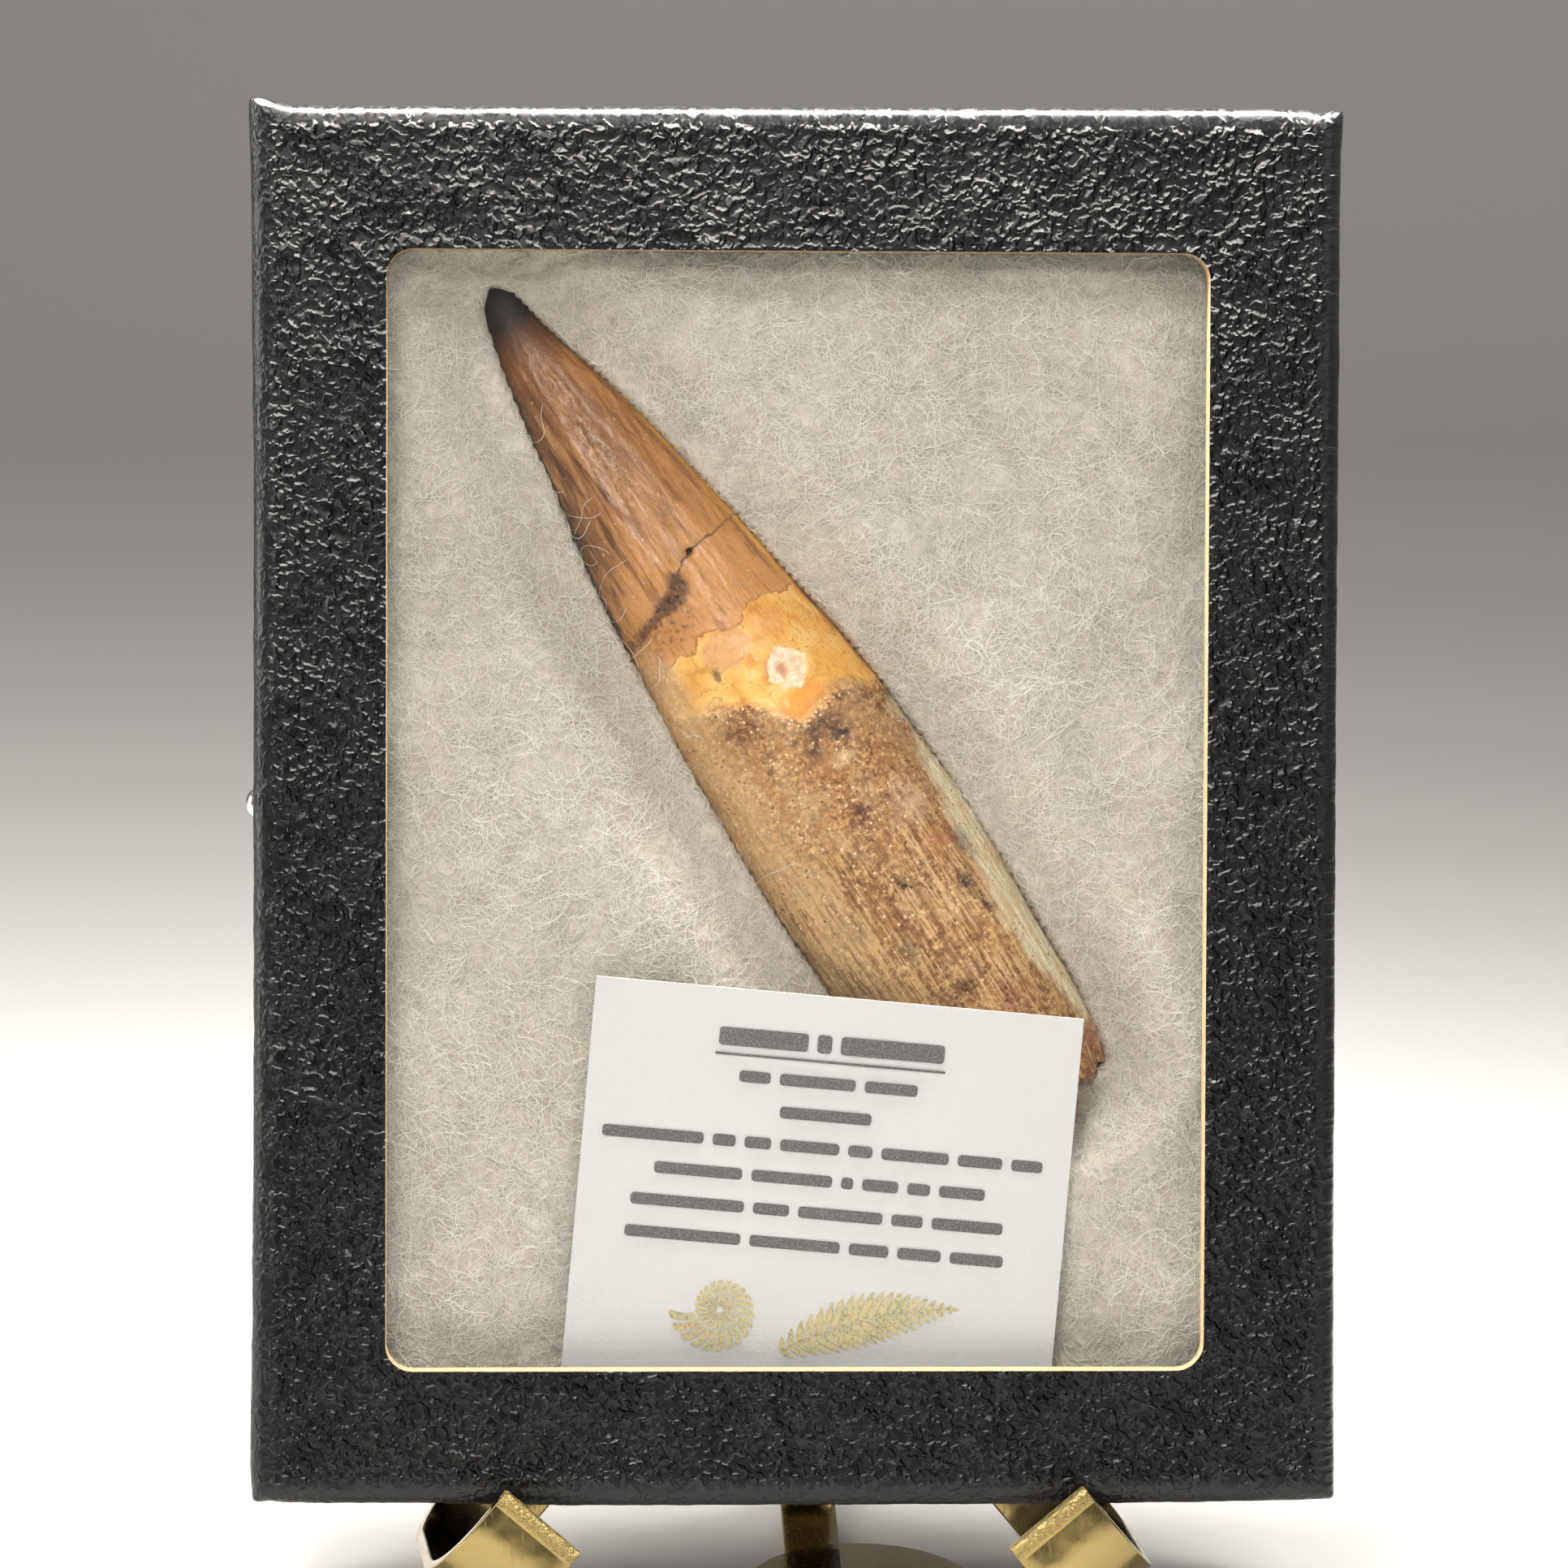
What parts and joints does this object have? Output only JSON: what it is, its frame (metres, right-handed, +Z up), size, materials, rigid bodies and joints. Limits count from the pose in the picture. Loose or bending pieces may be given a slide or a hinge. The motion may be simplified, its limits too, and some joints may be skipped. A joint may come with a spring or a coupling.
{
  "type": "fossil dinosaur tooth in a display case on an easel",
  "caption": "Brown fossil dinosaur tooth with its root, on fibre padding under glass in a black card display case with a blank-style label, standing on a small brass strip easel.",
  "frame": {"origin": "on the surface it stands on, under the middle of the whole object's box", "axes": "+Z up, -Y towards the front with the window, +X to the right seen from the front; the case leans back 10 degrees towards +Y"},
  "size_m": [0.0902, 0.044, 0.1268],
  "materials": {
    "cover": "card covered in black paper embossed with a leather grain, half gloss on the grain",
    "tray_board": "card covered in smooth black paper",
    "pane": "clear",
    "fossil": "glossy brown enamel on the crown with a near-black tip, matt sandy brown root with cream and dark patches",
    "fibre": "fluffy off-white fibre filling",
    "label": null,
    "pin_metal": "polished, slightly warm",
    "brass": "polished strip with rough cut ends"
  },
  "bodies": {
    "root": {"tooth": "fossil", "lid": "cover", "glass": "pane", "tray": "tray_board", "padding": "fibre", "label_card": "label", "pin": "pin_metal", "easel_arm_left": "brass", "easel_arm_right": "brass", "easel_rivet": "brass", "easel_back_leg": "brass"}
  },
  "joints": []
}
